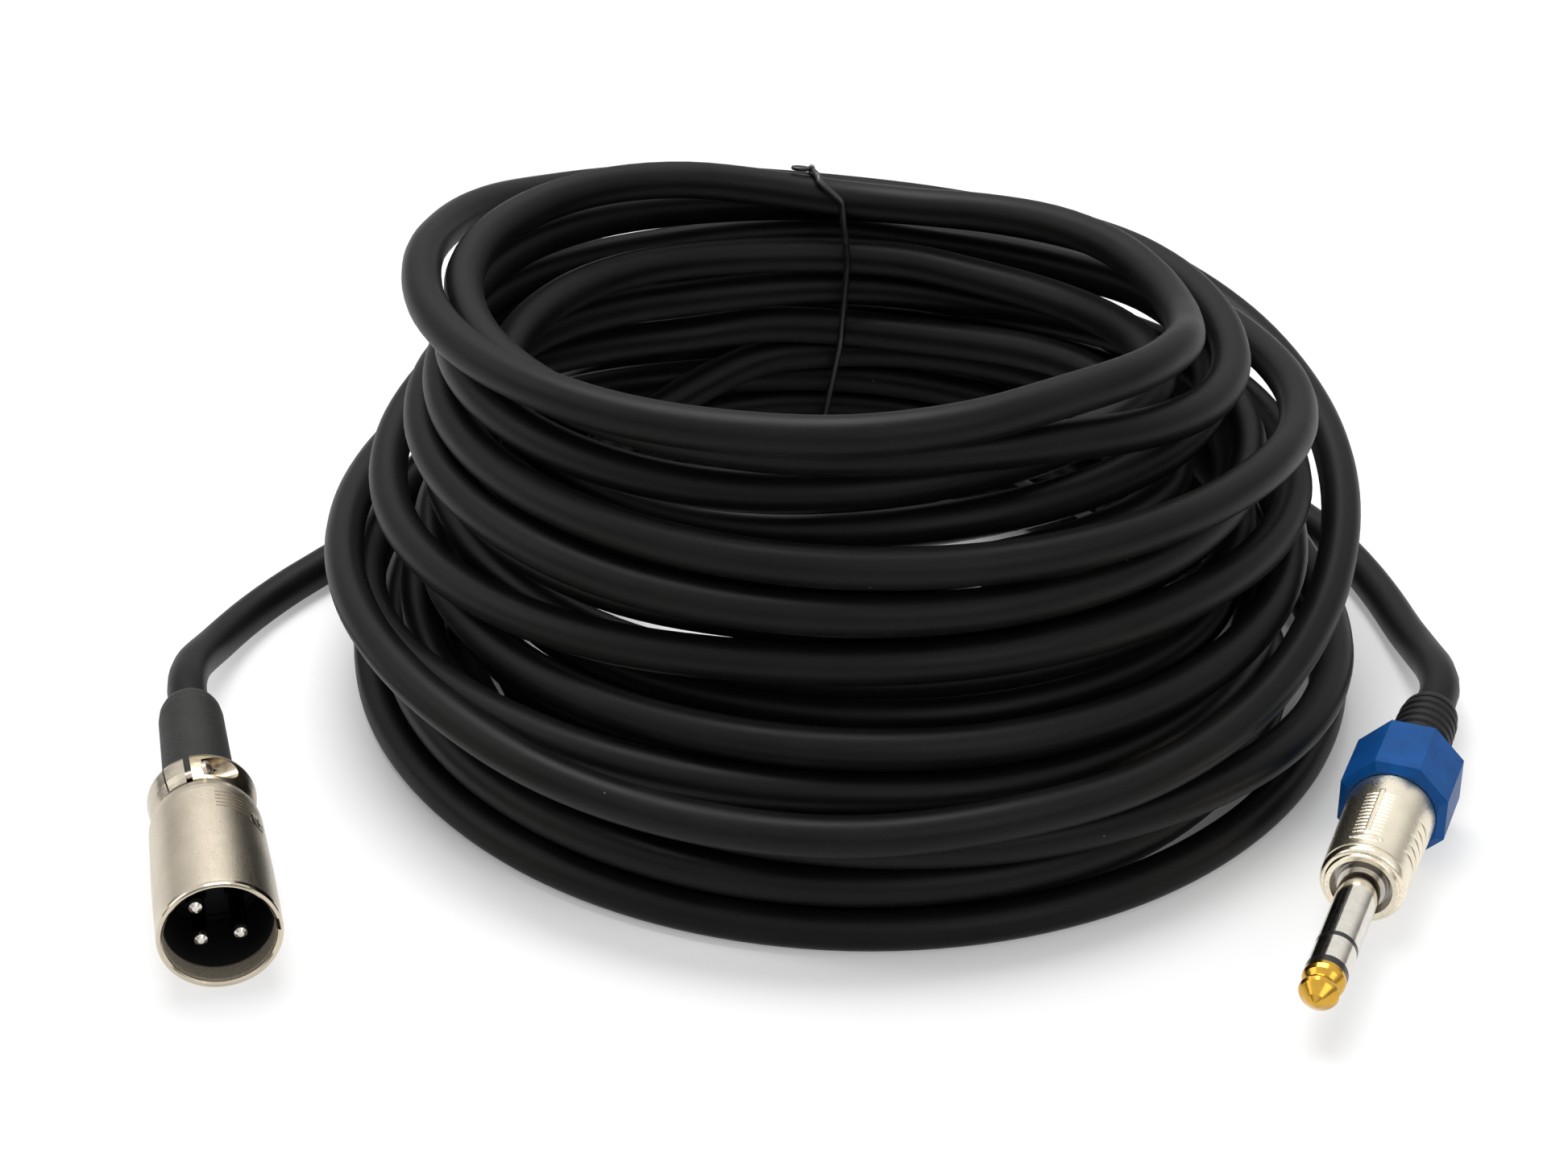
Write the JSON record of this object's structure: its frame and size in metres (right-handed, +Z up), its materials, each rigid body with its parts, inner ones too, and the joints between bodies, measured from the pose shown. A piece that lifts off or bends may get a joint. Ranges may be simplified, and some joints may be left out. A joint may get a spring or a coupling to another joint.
{
  "type": "audio cable",
  "caption": "Coiled balanced audio cable, tied round its back, with a three-pin male plug at one end and a three-contact jack plug at the other.",
  "frame": {"origin": "on the surface that the cable lies on, under the middle of its bounding box", "axes": "+Z up; both plugs point towards -Y, the three-pin plug on the -X side and the jack plug on the +X side"},
  "size_m": [0.2118, 0.2051, 0.077],
  "materials": {
    "jacket": "satin, fine grained",
    "tie": "satin",
    "shell": "satin nickel, bead blasted",
    "bright": "polished nickel",
    "insert": "moulded black",
    "boot": "matt moulded",
    "gold": "gold plated, polished",
    "nut": "moulded blue, fine grained",
    "chuck": "moulded natural",
    "liner": "moulded",
    "core_red": "insulated wire",
    "core_white": "insulated wire",
    "copper": "bare stranded"
  },
  "bodies": {
    "cable_and_plugs": {"cable_coil": "jacket", "cable_tail_xlr": "jacket", "cable_tail_jack": "jacket", "coil_tie": "tie", "xlr_shell": "shell", "xlr_clamp_saddle": "bright", "xlr_clamp_screw_top": "bright", "xlr_clamp_screw_bottom": "bright", "xlr_insert": "insert", "xlr_insert_screw": "bright", "xlr_pin_1": "bright", "xlr_pin_2": "bright", "xlr_pin_3": "bright", "xlr_boot": "boot", "xlr_core_hot": "core_red", "xlr_core_cold": "core_white", "xlr_shield_lead": "copper", "jack_tip": "gold", "jack_tip_insulator": "insert", "jack_ring": "bright", "jack_ring_insulator": "insert", "jack_sleeve": "bright", "jack_ground_strip": "bright", "jack_liner": "liner", "jack_barrel": "shell", "jack_chuck": "chuck", "jack_core_hot": "core_red", "jack_core_cold": "core_white", "jack_shield_lead": "copper"},
    "boot": {"jack_boot": "boot"},
    "nut": {"jack_gland_nut": "nut"}
  },
  "joints": [
    {"name": "boot_backs_off", "type": "slide", "parent": "cable_and_plugs", "child": "boot", "axis": [0.3616, 0.9323, 0], "range_m": [0, 0.00501]},
    {"name": "nut_unscrews", "type": "hinge", "parent": "boot", "child": "nut", "pos_m": [0.09062, -0.0485, 0.0083], "axis": [0.3616, 0.9323, 0], "range_deg": [0, 1800]}
  ],
  "couplings": [
    {"joint": "boot_backs_off", "follows": "nut_unscrews", "m_per_rad": 0.00015915}
  ]
}
